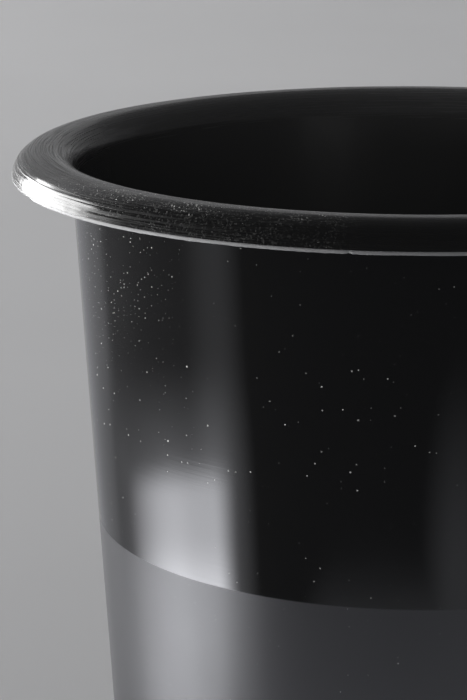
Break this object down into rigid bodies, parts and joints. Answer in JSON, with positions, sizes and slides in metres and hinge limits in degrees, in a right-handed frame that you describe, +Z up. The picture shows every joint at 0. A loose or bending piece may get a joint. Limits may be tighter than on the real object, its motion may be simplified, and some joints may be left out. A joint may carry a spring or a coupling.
{
  "type": "florist bucket",
  "caption": "Tall round tapered plastic bucket with a rolled lip, open at the top, for holding cut flowers in water.",
  "frame": {"origin": "centre of the foot ring, on the plane that the bucket stands on", "axes": "+Z up along the bucket's axis; it is round, so +X and +Y are any two directions square to that"},
  "size_m": [0.24, 0.24, 0.33],
  "materials": {
    "polypropylene": "black injection-moulded polypropylene, glossy on the lip and upper body, satin on the lower body"
  },
  "bodies": {
    "root": {"bucket": "polypropylene"}
  },
  "joints": []
}
